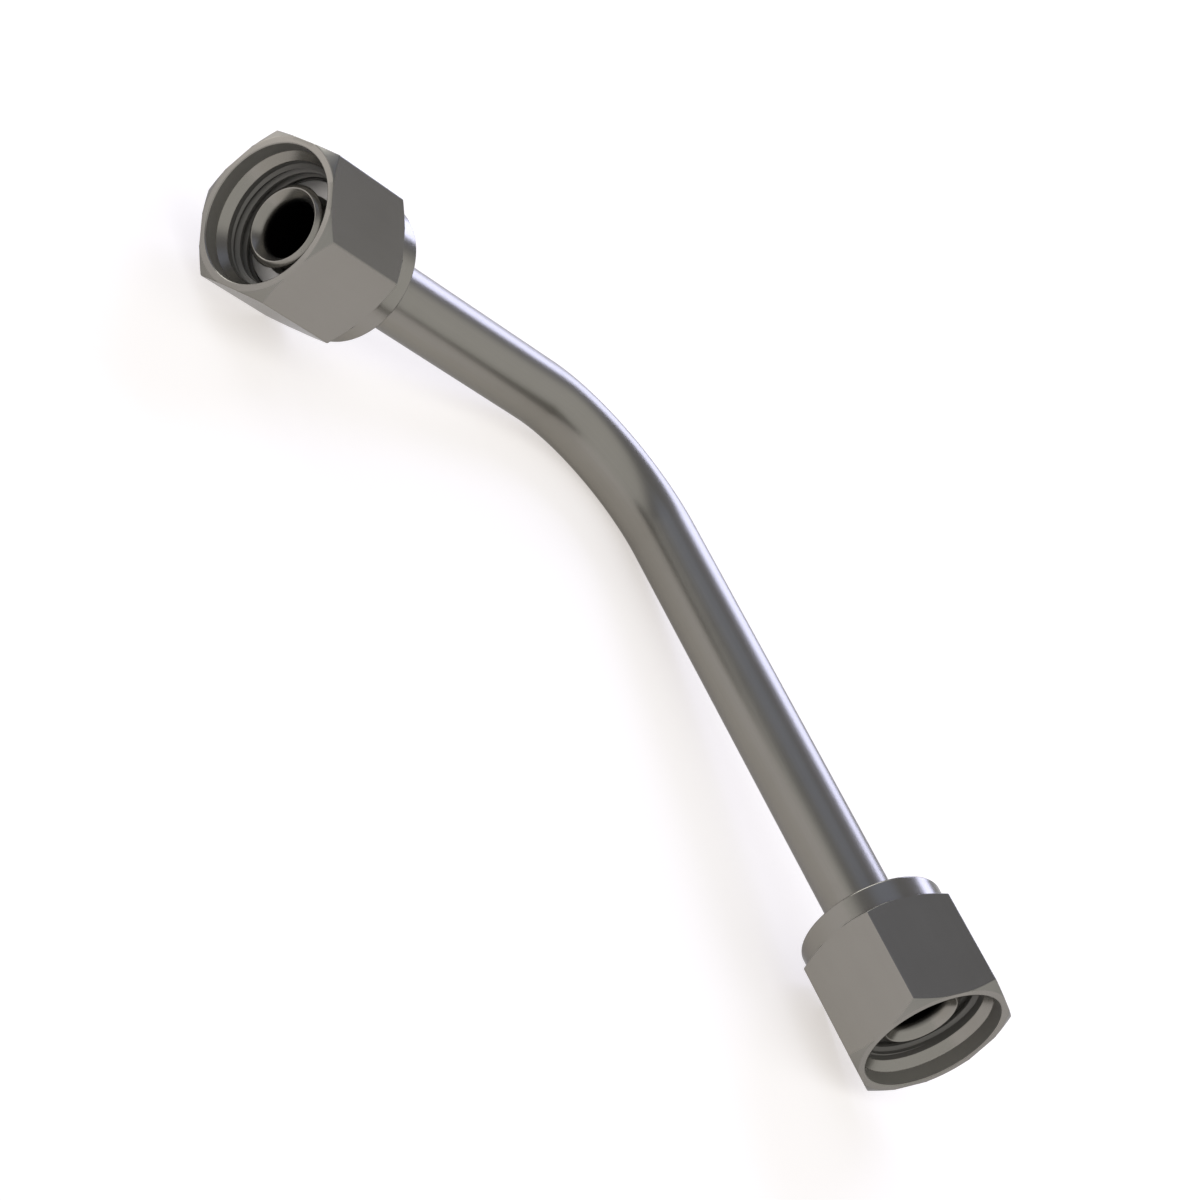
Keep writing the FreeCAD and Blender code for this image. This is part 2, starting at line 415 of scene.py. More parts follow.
rings = {
    "short_leg": first_ring,
    "long_leg": copy_of(first_ring, "long_leg_thrust_ring_turned"),
}
for leg, ring in rings.items():
    places = legs[leg]
    carry(ring, axes_at(places["tube_end"], places["outward"], places["flat_facing"]))
    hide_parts(leg + "_thrust_ring")
    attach(ring, leg + "_ring")
    print(ring.name, len(ring.data.polygons), "faces")

# %% [markdown]
# A union nut is bored from its mouth: a wide step that clears the mating collar, a lead-in, the
# thread, a cone that pulls on the ring's shoulder, and a hole for the skirt. The bore is fitted to
# the ring, so its depths are counted from the ring's own sizes and from the gap between the two.

# %% Sizes of the nut
FLATS = 6
FLAT_RADIUS = 11.0
HEX_FACE_RADIUS = 11.15
COLLAR_RADIUS = 10.5
COLLAR_LENGTH = 3.7
CHAMFER_ANGLE = math.radians(30)
BLANK_ALLOWANCE = 0.2
MOUTH_RADIUS = mounts["short_leg_nut_mouth"]["dims"]["r_mm"]
MOUTH_DEPTH = mounts["short_leg_nut_mouth"]["dims"]["length_mm"]
THREAD_RADIUS = 9.05
LEAD_IN_DEPTH = 3.5
HOLE_RADIUS = 6.6
HOLE_LENGTH = 7.5
SHOULDER_CLEARANCE = 0.4

short_places = legs["short_leg"]
nut_reach = (short_places["nut_mouth"] - short_places["tube_end"]).dot(short_places["outward"]) / MM
land_end = nut_reach + ring_front + RING_LAND_LENGTH
hole_depth = round(land_end + RING_LAND_RADIUS - HOLE_RADIUS + SHOULDER_CLEARANCE, DECIMALS)
thread_end = round(hole_depth - (THREAD_RADIUS - HOLE_RADIUS), DECIMALS)
nut_length = round(hole_depth + HOLE_LENGTH, DECIMALS)
hex_length = round(nut_length - COLLAR_LENGTH, DECIMALS)
corner_radius = FLAT_RADIUS / math.cos(math.pi / FLATS)
blank_radius = corner_radius + BLANK_ALLOWANCE
chamfer_depth = (blank_radius - HEX_FACE_RADIUS) * math.tan(CHAMFER_ANGLE)
print("nut", nut_length, "mm long, hexagon", hex_length, "mm, thread ends", thread_end, "mm deep")

# %% [markdown]
# A real nut starts as hexagon bar, and a lathe then turns the collar and the chamfers. The order is
# turned round here, because it gives cleaner edges: the whole round blank is spun from one outline,
# a little larger than the hexagon's corners, and the flats are cut afterwards.

# %% Turn the round blank of the nut
MOUTH_EDGE_BREAK = 0.1
MOUTH_STEPS = 2
COLLAR_EDGE_BREAK = 0.3

mouth_edge = (MOUTH_RADIUS, 0)
collar_back = (COLLAR_RADIUS, -nut_length)
hole_back = (HOLE_RADIUS, -nut_length)
nut_corners = [
    mouth_edge,
    (HEX_FACE_RADIUS, 0),
    (blank_radius, -chamfer_depth),
    (blank_radius, -hex_length + chamfer_depth),
    (HEX_FACE_RADIUS, -hex_length),
    (COLLAR_RADIUS, -hex_length),
    collar_back,
    hole_back,
    (HOLE_RADIUS, -hole_depth),
    (THREAD_RADIUS, -thread_end),
    (THREAD_RADIUS, -LEAD_IN_DEPTH),
    (MOUTH_RADIUS, -MOUTH_DEPTH),
]
nut_rounds = [
    (mouth_edge, MOUTH_EDGE_BREAK, MOUTH_STEPS),
    (collar_back, COLLAR_EDGE_BREAK, EDGE_STEPS),
    (hole_back, COLLAR_EDGE_BREAK, EDGE_STEPS),
]
first_nut = turned("short_leg_union_nut_milled", nut_corners, nut_rounds)
print("blank", len(first_nut.data.polygons), "faces, corners at", round(corner_radius, 2), "mm")

# %% [markdown]
# A flat is one straight cut, and bisect with a filled face is exactly that. Its usual precision is
# 0.1 mm, which would tear a part this small, so it is set far finer. Six cuts leave the hexagon with
# the curved lines that a turned chamfer draws on every flat. A narrow bevel along the sharp edges
# then breaks them, as tumbling does to a real nut, so that they catch a little light.

# %% Mill the six flats and break the edges
CUT_PRECISION = TOUCHING / 10
HEX_EDGE_BREAK = 0.12
HEX_EDGE_STEPS = 2
SHARP_FROM = 28

edit_alone(first_nut)
for flat in range(FLATS):
    turn = math.tau * flat / FLATS
    facing = Vector((math.cos(turn), math.sin(turn), 0))
    bpy.ops.mesh.select_all(action="SELECT")
    bpy.ops.mesh.bisect(
        plane_co=facing * FLAT_RADIUS * MM,
        plane_no=facing,
        use_fill=True,
        clear_outer=True,
        threshold=CUT_PRECISION,
    )
bpy.ops.mesh.select_all(action="SELECT")
bpy.ops.mesh.remove_doubles(threshold=TOUCHING)
bpy.ops.mesh.normals_make_consistent(inside=False)
bpy.ops.object.mode_set(mode="OBJECT")
edge_break = first_nut.modifiers.new("edge_break", "BEVEL")
edge_break.width = HEX_EDGE_BREAK * MM
edge_break.segments = HEX_EDGE_STEPS
edge_break.limit_method = "ANGLE"
edge_break.angle_limit = math.radians(SHARP_FROM)
edge_break.use_clamp_overlap = False
apply_modifier(first_nut, edge_break)
print("milled nut", len(first_nut.data.polygons), "faces")

# %% [markdown]
# Inside the nut runs an M18 x 1.5 thread. Its ridge is one turned wire: a flat-topped triangle that
# climbs 1.5 mm with each turn. The Screw modifier winds it from the open outline, and the two open
# ends are filled, so that the ridge is a closed solid that a Boolean can work with. It is cut a
# third lower than a full thread, because the picture shows the bore nearly smooth, and the ring's
# land still passes inside it.

# %% Wind the thread ridge
PITCH = 1.5
RIDGE_HEIGHT = 0.6
RIDGE_ROOT_SINK = 0.1
FLANK_ANGLE = math.radians(30)
CREST_WIDTH = PITCH / 4
THREAD_STEPS = 72

ridge_top = THREAD_RADIUS - RIDGE_HEIGHT
root_radius = THREAD_RADIUS + RIDGE_ROOT_SINK
flank = (root_radius - ridge_top) * math.tan(FLANK_ANGLE)
thread_turns = math.ceil((thread_end - MOUTH_DEPTH) / PITCH) + 1
ridge_start = -thread_end - PITCH
ridge_corners = [
    (root_radius, ridge_start),
    (ridge_top, ridge_start + flank),
    (ridge_top, ridge_start + flank + CREST_WIDTH),
    (root_radius, ridge_start + 2 * flank + CREST_WIDTH),
    (root_radius, ridge_start),
]
ridge = draw_outline("thread_ridge", ridge_corners)
bpy.ops.mesh.select_all(action="SELECT")
bpy.ops.object.mode_set(mode="OBJECT")
winding = ridge.modifiers.new("winding", "SCREW")
winding.axis = "Z"
winding.angle = math.tau
winding.screw_offset = PITCH * MM
winding.iterations = thread_turns
winding.steps = THREAD_STEPS
winding.render_steps = THREAD_STEPS
apply_modifier(ridge, winding)
edit_alone(ridge)
bpy.ops.mesh.select_all(action="SELECT")
bpy.ops.mesh.fill_holes(sides=0)
bpy.ops.mesh.normals_make_consistent(inside=False)
bpy.ops.object.mode_set(mode="OBJECT")
print("ridge", len(ridge.data.polygons), "faces,", thread_turns, "turns")

# %% [markdown]
# The lead-in cone cuts the first turn of a thread away at a slant. So the ridge is kept only where it
# lies inside a turned body with such a cone at its front. Then it is joined to the nut. The wire's
# root is sunk a little into the wall, so the Boolean never meets two faces in the same place.

# %% Trim the ridge and join it to the nut
THREAD_START = 4.2
THREAD_RUN_OUT = 0.3
KEEPER_SINK = 0.06
KEEPER_CORE_GAP = 1.0


def combine(piece, tool, operation):
    """Applies a Boolean of the piece with the tool, and deletes the tool."""
    cut = piece.modifiers.new("cut", "BOOLEAN")
    cut.operation = operation
    cut.solver = "EXACT"
    cut.object = tool
    apply_modifier(piece, cut)
    bpy.data.objects.remove(tool)


lead_in_slope = (LEAD_IN_DEPTH - MOUTH_DEPTH) / (MOUTH_RADIUS - THREAD_RADIUS)
keeper_radius = THREAD_RADIUS + KEEPER_SINK
keeper_core = ridge_top - KEEPER_CORE_GAP
keeper_corners = [
    (keeper_core, -THREAD_START - (THREAD_RADIUS - keeper_core) * lead_in_slope),
    (keeper_radius, -THREAD_START),
    (keeper_radius, -thread_end + THREAD_RUN_OUT),
    (keeper_core, -thread_end + THREAD_RUN_OUT),
]
combine(ridge, turned("thread_keeper", keeper_corners), "INTERSECT")
print("ridge kept", len(ridge.data.polygons), "faces")
combine(first_nut, ridge, "UNION")
print("threaded nut", len(first_nut.data.polygons), "faces")

# %% [markdown]
# The two nuts are the same part as well, so the finished one is copied. Each is carried to its mouth
# with one flat facing the way the frame says, because the two nuts stopped at different turns.

# %% Copy the nut and place both
remember(first_nut, [vertex.co for vertex in first_nut.data.vertices])
smooth(first_nut)
nuts = {
    "short_leg": first_nut,
    "long_leg": copy_of(first_nut, "long_leg_union_nut_milled"),
}
for leg, nut in nuts.items():
    places = legs[leg]
    carry(nut, axes_at(places["nut_mouth"], places["outward"], places["flat_facing"]))
    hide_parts(leg + "_union_nut")
    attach(nut, leg + "_nut")
    print(nut.name, len(nut.data.polygons), "faces")

# %% [markdown]
# A colour is written as the hex value that the eye sees and turned to the linear light that a shader
# works with. A material is a tree of nodes. One function adds a node with its settings and links,
# so that a finish below reads as a list of what is connected to what.

# %% Colour and node helpers
def linear(hex_colour):
    """An sRGB hex colour as linear red, green, blue and full alpha."""
    parts = [int(hex_colour[place:place + 2], 16) / 255 for place in (1, 3, 5)]
    light = [part / 12.92 if part <= 0.04045 else ((part + 0.055) / 1.055) ** 2.4 for part in parts]
    return (*light, 1.0)


def add_node(tree, kind, settings=None, links=None):
    """Adds a node, sets its properties or sockets, and links its inputs."""
    node = tree.nodes.new(kind)
    for name, value in (settings or {}).items():
        if isinstance(name, int) or name in node.inputs:
            node.inputs[name].default_value = value
        else:
            setattr(node, name, value)
    for name, source in (links or {}).items():
        tree.links.new(source, node.inputs[name])
    return node


def new_material(name):
    """An empty material with its node tree and a Principled shader linked to the output."""
    material = bpy.data.materials.new(name)
    material.use_nodes = True
    tree = material.node_tree
    tree.nodes.clear()
    shader = add_node(tree, "ShaderNodeBsdfPrincipled")
    add_node(tree, "ShaderNodeOutputMaterial", links={"Surface": shader.outputs["BSDF"]})
    return material, tree, shader


print("mid grey is", round(linear("#808080")[0], 3), "of white light")

# %% [markdown]
# Cold-drawn steel carries fine lines along its length, and a lathe leaves fine rings round its axis.
# Both are noise that is stretched along the lines. For drawn steel, the bench place is squeezed
# along Z. For a turned surface, its angle round the axis is thrown away and only the radius and the
# height are kept, so the noise can't change on the way round.

# %% Where the lines of the work run
LINE_SQUEEZE = 0.01


def distance_from_axis(tree, place):
    """How far the bench place lies from the axis of the work, in mm."""
    across = add_node(
        tree,
        "ShaderNodeVectorMath",
        {"operation": "MULTIPLY", 1: (1.0, 1.0, 0.0)},
        {0: place},
    )
    radius = add_node(
        tree,
        "ShaderNodeVectorMath",
        {"operation": "LENGTH"},
        {0: across.outputs["Vector"]},
    )
    return radius.outputs["Value"]


def line_place(tree, place, turned_rings):
    """The bench place, made constant round the axis or nearly constant along it."""
    if turned_rings:
        parts = add_node(tree, "ShaderNodeSeparateXYZ", links={"Vector": place})
        links = {"X": distance_from_axis(tree, place), "Z": parts.outputs["Z"]}
        return add_node(tree, "ShaderNodeCombineXYZ", links=links).outputs["Vector"]
    squeeze = {"Scale": (1.0, 1.0, LINE_SQUEEZE)}
    return add_node(tree, "ShaderNodeMapping", squeeze, {"Vector": place}).outputs["Vector"]


# %% [markdown]
# One recipe serves every steel here. The lines, mixed with soft clouds about 8 mm across, shift the
# colour between two near greys, vary the roughness a little and press a faint bump. The share of
# metal stays below one, because a thin grey film of oil and oxide scatters part of the light, and
# the edge tint takes back the white glare that clean metal would have at a grazing view.

# %% A recipe for worked steel
EDGE_TINT = "#B8B8B8"
# Real lines are about 0.05 mm apart, too fine to show, so they are drawn coarser and kept faint.
LINE_SPACING = 0.25
LINE_DEPTH = 0.01
LINE_STRENGTH = 0.25
LINE_NOISE = {"Scale": 1 / LINE_SPACING, "Detail": 3.0, "Roughness": 0.6}
CLOUDS_PER_MM = 0.12
CLOUD_NOISE = {"Scale": CLOUDS_PER_MM, "Detail": 4.0, "Roughness": 0.55}
CLOUD_SHARE = 0.5
ROUGHNESS_SPREAD = 0.04


def worked_steel(name, colours, turned_rings, metallic, roughness):
    """Steel with lines along the work, or with rings round it."""
    material, tree, shader = new_material(name)
    kept = add_node(tree, "ShaderNodeAttribute", {"attribute_name": "work_place"})
    place = kept.outputs["Vector"]
    lines_at = line_place(tree, place, turned_rings)
    lines = add_node(tree, "ShaderNodeTexNoise", LINE_NOISE, {"Vector": lines_at})
    clouds = add_node(tree, "ShaderNodeTexNoise", CLOUD_NOISE, {"Vector": place})
    tone = add_node(
        tree,
        "ShaderNodeMix",
        {"data_type": "FLOAT", 0: CLOUD_SHARE},
        {2: lines.outputs["Fac"], 3: clouds.outputs["Fac"]},
    )
    colour = add_node(
        tree,
        "ShaderNodeMix",
        {"data_type": "RGBA", 6: linear(colours[0]), 7: linear(colours[1])},
        {0: tone.outputs[0]},
    )
    rough = add_node(
        tree,
        "ShaderNodeMapRange",
        {"To Min": roughness - ROUGHNESS_SPREAD, "To Max": roughness + ROUGHNESS_SPREAD},
        {"Value": tone.outputs[0]},
    )
    bump = add_node(
        tree,
        "ShaderNodeBump",
        {"Strength": LINE_STRENGTH, "Distance": LINE_DEPTH * MM},
        {"Height": lines.outputs["Fac"]},
    )
    shader.inputs["Metallic"].default_value = metallic
    shader.inputs["Specular Tint"].default_value = linear(EDGE_TINT)
    tree.links.new(colour.outputs[2], shader.inputs["Base Color"])
    tree.links.new(rough.outputs["Result"], shader.inputs["Roughness"])
    tree.links.new(bump.outputs["Normal"], shader.inputs["Normal"])
    return material


# %% [markdown]
# Inside the tube the steel is painted nearly black: painted shade for the deep bore, so that seen from
# the mouth the bore reads as a hole. The colour is faded by the distance from the tube's axis, which
# keeps it one material on one piece.

# %% Paint shade into the bore
# Painted shade: the bore's colour is nearly black, because little light reaches into the tube.
PAINTED_BORE_SHADE = "#141312"
BORE_SHADE_FADE = 0.6


def paint_bore_shade(material):
    """Fades the colour to the painted shade of the bore, over a short way outwards from the bore's
    wall.
    """
    tree = material.node_tree
    shader = tree.nodes["Principled BSDF"]
    light_colour = shader.inputs["Base Color"].links[0].from_socket
    kept = add_node(tree, "ShaderNodeAttribute", {"attribute_name": "work_place"})
    light_share = add_node(
        tree,
        "ShaderNodeMapRange",
        {
            "interpolation_type": "SMOOTHSTEP",
            "From Min": BORE_RADIUS,
            "From Max": BORE_RADIUS + BORE_SHADE_FADE,
        },
        {"Value": distance_from_axis(tree, kept.outputs["Vector"])},
    )
    faded = add_node(
        tree,
        "ShaderNodeMix",
        {"data_type": "RGBA", 6: linear(PAINTED_BORE_SHADE)},
        {0: light_share.outputs["Result"], 7: light_colour},
    )
    tree.links.new(faded.outputs[2], shader.inputs["Base Color"])


# %% [markdown]
# The tube is drawn cold through a die, and its ends are spread by a cone. Both leave the same grey
# steel with a different skin, so the two finishes share one pair of colours. Metallic and roughness
# start from what such a surface usually has and were then matched to the picture.

# %% Finishes of the tube
STEEL = ("#817E77", "#8D8A83")

# Cold-drawn tube: long fine lines pull the highlight out into a soft band along the tube.
tube_steel = worked_steel(
    "cold_drawn_tube_steel",
    STEEL,
    turned_rings=False,
    metallic=0.85,
    roughness=0.3,
)
# The flaring cone burnishes the tube's end: fine rings round the mouth, and a tighter shine.
flared_steel = worked_steel(
    "cone_flared_tube_end_steel",
    STEEL,
    turned_rings=True,
    metallic=0.85,
    roughness=0.22,
)
# Both tube finishes get the painted shade of the bore.
for steel in (tube_steel, flared_steel):
    paint_bore_shade(steel)
    print(steel.name, len(steel.node_tree.nodes), "nodes")

# %% [markdown]
# A union nut is cut from drawn hexagon bar, and its outside shows three skins: turned, drawn and
# scraped by a form tool. They could be one material with a mask. Three separate ones keep each
# easy to read, and every face of the nut belongs to just one of them.

# %% Finishes of the nut's outside
# Painted shade: the chamfer colours are a darker copy of the steel, for the shaded floor that the
# chamfers mirror.
CHAMFER_PAINTED_SHADE = ("#7B7973", "#86847E")

# A fine finishing cut on the lathe: rings round the axis, and a clear, even shine.
turned_steel = worked_steel(
    "fine_turned_steel",
    STEEL,
    turned_rings=True,
    metallic=0.85,
    roughness=0.22,
)
# The flats keep the skin of the drawn bar: lines along the nut, and broad calm reflections.
bar_steel = worked_steel(
    "cold_drawn_hexagon_bar_steel",
    STEEL,
    turned_rings=False,
    metallic=0.85,
    roughness=0.22,
)
# A form tool scrapes the chamfers duller, and their colour is painted a shade darker as painted shade,
# so their curved edges show.
chamfer_steel_painted_shade = worked_steel(
    "form_turned_chamfer_steel",
    CHAMFER_PAINTED_SHADE,
    turned_rings=True,
    metallic=0.85,
    roughness=0.3,
)
print("outside of the nut:", turned_steel.name, bar_steel.name, chamfer_steel_painted_shade.name)

# %% [markdown]
# Inside the nut little light comes in and oil stays behind, so there the steel is duller, with a
# smaller share of clean metal. The thread is painted darker, as painted shade deep in the nut, and the
# ring's front is painted paler, as painted light, so that it stands out lit in the dark nut.

# %% Finishes of the bores and the ring
# Painted shade: the thread colours are a darker copy of the steel, because little light reaches deep
# into the nut.
THREAD_PAINTED_SHADE = ("#63615C", "#6D6B66")
# Painted light: the ring front's colours are paler, so that the front looks lit inside the dark nut.
RING_FRONT_PAINTED_LIGHT = ("#B4B2AD", "#C4C2BE")

# A boring bar leaves smooth grey walls that hardly mirror.
bored_steel = worked_steel(
    "smooth_bored_steel",
    STEEL,
    turned_rings=True,
    metallic=0.4,
    roughness=0.45,
)
# The tapped thread is painted darker, as painted shade deep in the nut, so the ridges read as dark
# lines.
shaded_tapped_steel = worked_steel(
    "oil_dark_tapped_steel",
    THREAD_PAINTED_SHADE,
    turned_rings=True,
    metallic=0.4,
    roughness=0.45,
)
# Turned steel with painted light: its front is painted pale and silky, so it looks lit and stands out
# in the dark nut.
ring_front_steel_painted_light = worked_steel(
    "turned_and_zinc_plated_steel",
    RING_FRONT_PAINTED_LIGHT,
    turned_rings=True,
    metallic=0.7,
    roughness=0.35,
)
print("inside of the nut:", bored_steel.name, shaded_tapped_steel.name, ring_front_steel_painted_light.name)

# %% [markdown]
# A piece may hold several materials, and each face says by number which one it wears. The faces are
# chosen by where they lay on the bench, so the choice doesn't depend on how they are numbered.

# %% Dress the tube
def dress(piece, finish_of, *materials):
    """Gives the piece its materials, and each face the one that finish_of picks for it."""
    piece.data.materials.clear()
    for material in materials:
        piece.data.materials.append(material)
    counts = [0] * len(materials)
    for face in piece.data.polygons:
        face.material_index = finish_of(piece, face)
        counts[face.material_index] += 1
    print(piece.name, [(material.name, count) for material, count in zip(materials, counts)])


def tube_finish(piece, face):
    """1 on the flared ends, 0 elsewhere."""
    flared = -back_knee_depth * MM
    reach = max((face.center - places["tube_end"]).dot(places["outward"]) for places in legs.values())
    return int(reach > flared)


dress(tube, tube_finish, tube_steel, flared_steel)

# %% [markdown]
# On the ring only the front is painted pale, as painted light, while the rest stays bored grey. It
# reaches from the edge of the seat cone to the middle of the edge break.

# %% Dress the rings
def work_centre(piece, face):
    """The middle of a face on the bench, as radius and height in mm."""
    kept = piece.data.attributes["work_place"].data
    middle = sum((kept[vertex].vector for vertex in face.vertices), Vector()) / len(face.vertices)
    return math.hypot(middle.x, middle.y), middle.z


def ring_finish(piece, face):
    """1 on the ring's front, 0 elsewhere."""
    radius, height = work_centre(piece, face)
    return int(height > -ring_front - RING_EDGE_BREAK / 2 and radius > seat_radius)


for ring in rings.values():
    dress(ring, ring_finish, bored_steel, ring_front_steel_painted_light)

# %% [markdown]
# On the nut the six flats are single large faces at the flats' distance. The chamfers lie outside
# the hexagon's round face at either end. What is left inside the mouth is the bored step, the
# lead-in cone, which is cut with the same fine tool as the outside, the thread and the rear hole.

# %% Dress the nuts
FLAT_TOLERANCE = 0.02
FLAT_AREA = 100.0
TURNED, DRAWN, CHAMFERED, BORED, TAPPED = range(5)


def nut_finish(piece, face):
    """The finish of one face of the nut, by where it lay on the bench."""
    radius, height = work_centre(piece, face)
    if abs(radius - FLAT_RADIUS) < FLAT_TOLERANCE and face.area > FLAT_AREA * MM * MM:
        return DRAWN
    if radius > HEX_FACE_RADIUS and not chamfer_depth - hex_length < height < -chamfer_depth:
        return CHAMFERED
    if -LEAD_IN_DEPTH < height < -MOUTH_DEPTH and THREAD_RADIUS < radius < MOUTH_RADIUS:
        return TURNED
    if radius < root_radius and -hole_depth < height < -LEAD_IN_DEPTH:
        return TAPPED
    if radius < MOUTH_RADIUS and COLLAR_EDGE_BREAK - nut_length < height < 0:
        return BORED
    return TURNED


for nut in nuts.values():
    dress(nut, nut_finish, turned_steel, bar_steel, chamfer_steel_painted_shade, bored_steel, shaded_tapped_steel)

# %% [markdown]
# The line lies on a plain matt white floor, and the floor keeps its soft shadow. The floor adds a
# little light of its own where the camera looks at it, so that it reads white without washing the
# line out. Where the steel mirrors it, it glows as well, and more so in one patch off the short leg.
# The patch stands for a sheet of paper in bright light, and its mirror image lifts the nut's chamfer.

# %% Floor
FLOOR_SIZE = 6.0
FLOOR_COLOUR = "#CCCCCC"
FLOOR_ROUGHNESS = 0.9
GLOW_COLOUR = "#FFF9F5"
FLOOR_SEEN_GLOW = 0.55
FLOOR_MIRRORED_GLOW = 0.64

bpy.ops.object.select_all(action="DESELECT")
bpy.ops.mesh.primitive_plane_add(size=FLOOR_SIZE)
floor = bpy.context.active_object
floor.name = "white_floor"
floor_paint, floor_tree, floor_shader = new_material("matt_white_floor")
floor_shader.inputs["Base Color"].default_value = linear(FLOOR_COLOUR)
floor_shader.inputs["Roughness"].default_value = FLOOR_ROUGHNESS
floor_shader.inputs["Specular IOR Level"].default_value = 0.0
floor_shader.inputs["Emission Color"].default_value = linear(GLOW_COLOUR)
floor.data.materials.append(floor_paint)
print("floor", FLOOR_SIZE, "m wide")

# %% [markdown]
# Light Path tells a shader which kind of ray has reached it. A camera ray gets the even glow, and a
# ray that a shiny surface sent on gets the mirrored glow. All other rays get none, so the floor
# casts no light of its own on anything. The patch is given in millimetres.

# %% Glow of the floor
PATCH_GLOW = 2.4
PATCH_PLACE = Vector((70.0, -190.0, 0.0)) * MM
PATCH_INNER = 20.0
PATCH_OUTER = 120.0

floor_path = add_node(floor_tree, "ShaderNodeLightPath")
seen_glow = add_node(
    floor_tree,
    "ShaderNodeMath",
    {"operation": "MULTIPLY", 1: FLOOR_SEEN_GLOW},
    {0: floor_path.outputs["Is Camera Ray"]},
)
floor_place = add_node(floor_tree, "ShaderNodeTexCoord")
from_patch = add_node(
    floor_tree,
    "ShaderNodeVectorMath",
    {"operation": "DISTANCE", 1: PATCH_PLACE},
    {0: floor_place.outputs["Object"]},
)
mirrored_glow = add_node(
    floor_tree,
    "ShaderNodeMapRange",
    {
        "interpolation_type": "SMOOTHSTEP",
        "From Min": PATCH_INNER * MM,
        "From Max": PATCH_OUTER * MM,
        "To Min": PATCH_GLOW,
        "To Max": FLOOR_MIRRORED_GLOW,
    },
    {"Value": from_patch.outputs["Value"]},
)
floor_glow = add_node(
    floor_tree,
    "ShaderNodeMath",
    {"operation": "MULTIPLY_ADD"},
    {
        0: floor_path.outputs["Is Glossy Ray"],
        1: mirrored_glow.outputs["Result"],
        2: seen_glow.outputs[0],
    },
)
floor_tree.links.new(floor_glow.outputs[0], floor_shader.inputs["Emission Strength"])
print("bright patch at", [round(axis / MM) for axis in PATCH_PLACE], "mm")

# %% [markdown]
# Polished steel has hardly any look of its own: it shows what stands round it. The surround is a
# white room with one dark side beyond the top of the picture, which gives the nuts their dark flats.
# Inside the dark side a paler blue patch gives the upper side of the tube its cool tone. Both are
# drawn by how far a direction turns away from their middle, and the dark side fades out near the
# horizon, where the white floor begins.

# %% Colours of the surround
WHITE = "#FFFFFF"
DARK_COLOUR = "#8E8E92"
BLUE_COLOUR = "#B0B8D0"
DARK_SIDE = Vector((-0.06, -0.92, 0.4)).normalized()
BLUE_PATCH = Vector((0.34, -0.6, 0.72)).normalized()
DARK_FADE = (0.17, 0.52)
BLUE_FADE = (0.92, 0.99)
HORIZON_FADE = (0.08, 0.4)

world = bpy.data.worlds.new("pale_surround")
bpy.context.scene.world = world
world.use_nodes = True
world_tree = world.node_tree
world_tree.nodes.clear()
surround_way = add_node(world_tree, "ShaderNodeTexCoord").outputs["Generated"]


def share_towards(way, fade):
    """How much the surround turns towards a way: 0 below the first cosine, 1 above the second."""
    cosine = add_node(
        world_tree,
        "ShaderNodeVectorMath",
        {"operation": "DOT_PRODUCT", 1: way},
        {0: surround_way},
    )
    share = add_node(
        world_tree,
        "ShaderNodeMapRange",
        {"interpolation_type": "SMOOTHSTEP", "From Min": fade[0], "From Max": fade[1]},
        {"Value": cosine.outputs["Value"]},
    )
    return share.outputs["Result"]


UPWARDS = Vector((0.0, 0.0, 1.0))
dark_share = add_node(
    world_tree,
    "ShaderNodeMath",
    {"operation": "MULTIPLY"},
    {0: share_towards(DARK_SIDE, DARK_FADE), 1: share_towards(UPWARDS, HORIZON_FADE)},
)
dark_colour = add_node(
    world_tree,
    "ShaderNodeMix",
    {"data_type": "RGBA", 6: linear(DARK_COLOUR), 7: linear(BLUE_COLOUR)},
    {0: share_towards(BLUE_PATCH, BLUE_FADE)},
)
surround = add_node(
    world_tree,
    "ShaderNodeMix",
    {"data_type": "RGBA", 6: linear(WHITE)},
    {0: dark_share.outputs[0], 7: dark_colour.outputs[2]},
)
print("the surround has", len(world_tree.nodes), "nodes so far")

# %% [markdown]
# The picture has a plain white backdrop, while the steel has to mirror the two-toned room. Again
# Light Path parts the two: the camera sees white, and every other ray sees the surround.

# %% Backdrop
lit = add_node(world_tree, "ShaderNodeBackground", links={"Color": surround.outputs[2]})
backdrop = add_node(world_tree, "ShaderNodeBackground", {"Color": linear(WHITE)})
world_path = add_node(world_tree, "ShaderNodeLightPath")
shown = add_node(
    world_tree,
    "ShaderNodeMixShader",
    links={
        0: world_path.outputs["Is Camera Ray"],
        1: lit.outputs["Background"],
        2: backdrop.outputs["Background"],
    },
)
add_node(world_tree, "ShaderNodeOutputWorld", links={"Surface": shown.outputs["Shader"]})
print("the surround has", len(world_tree.nodes), "nodes")

# %% [markdown]
# A large cool lamp behind the line draws the bright edge along the tube, and a white one beyond the
# top of the picture, like a window, brightens the nuts' collars and chamfers. Steel shows where a
# lamp stands and not how near it is, so a lamp is placed by two angles. Its watts follow from the
# brightness that its surface should show and from its area, so resizing it leaves that as it is.

# %% Lamps
LAMP_DISTANCE = 1.6


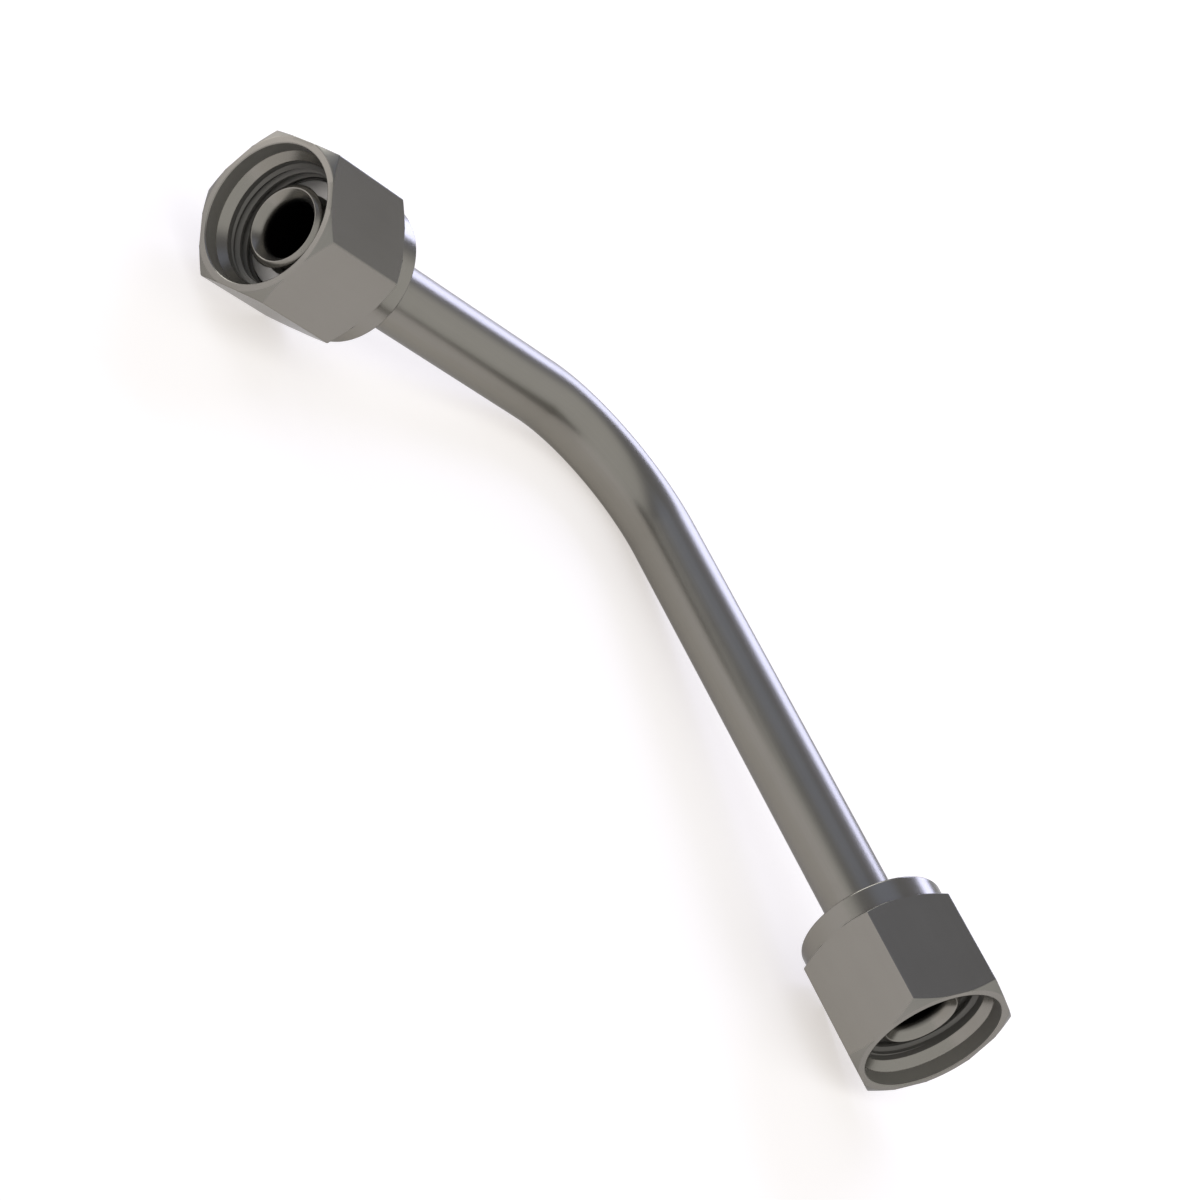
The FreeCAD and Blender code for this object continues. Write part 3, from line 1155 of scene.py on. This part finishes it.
def add_lamp(name, azimuth, elevation, width, height, radiance, colour):
    """A rectangular lamp that faces the line; the angles are in degrees, azimuth from +Y to +X."""
    turn = math.radians(azimuth)
    rise = math.radians(elevation)
    way = Vector(
        (math.sin(turn) * math.cos(rise), math.cos(turn) * math.cos(rise), math.sin(rise))
    )
    data = bpy.data.lights.new(name, "AREA")
    data.shape = "RECTANGLE"
    data.size = width
    data.size_y = height
    data.color = linear(colour)[:3]
    data.energy = radiance * math.pi * width * height
    lamp = bpy.data.objects.new(name, data)
    bpy.context.scene.collection.objects.link(lamp)
    lamp.location = way * LAMP_DISTANCE
    lamp.rotation_euler = way.to_track_quat("Z", "Y").to_euler()
    print(name, round(data.energy, 2), "W")


add_lamp("cool_edge_lamp", -134, 22.5, width=0.8, height=0.94, radiance=7.7, colour="#D4D9FF")
add_lamp("white_window_lamp", 170, 14, width=1.3, height=0.72, radiance=2.8, colour=WHITE)

# %% [markdown]
# The camera is given by its place and by its right and up directions. They were found by fitting
# the two nut mouths and the tube's edges to the picture, and they are written as real sizes in the
# frame of the line. A camera looks along its own -Z, so right cross up points behind it.

# %% Camera
CAMERA_PLACE = Vector((343.707, 237.986, 207.778)) * MM
CAMERA_RIGHT = Vector((-0.62520412, 0.31511874, 0.7140168))
CAMERA_UP = Vector((0.23800348, -0.79430813, 0.55895342))
CAMERA_LENS = 102.472
CAMERA_SENSOR = 36.0
CAMERA_NEAR = 0.01

camera_data = bpy.data.cameras.new("camera")
camera_data.sensor_width = CAMERA_SENSOR
camera_data.lens = CAMERA_LENS
camera_data.clip_start = CAMERA_NEAR
camera = bpy.data.objects.new("camera", camera_data)
bpy.context.scene.collection.objects.link(camera)
camera_back = CAMERA_RIGHT.cross(CAMERA_UP)
camera_axes = Matrix((CAMERA_RIGHT, CAMERA_UP, camera_back)).transposed()
camera.matrix_world = Matrix.Translation(CAMERA_PLACE) @ camera_axes.to_4x4()
bpy.context.scene.camera = camera
bpy.context.scene.view_settings.view_transform = "Standard"
print("camera", round(CAMERA_PLACE.length / MM), "mm from the line's middle")
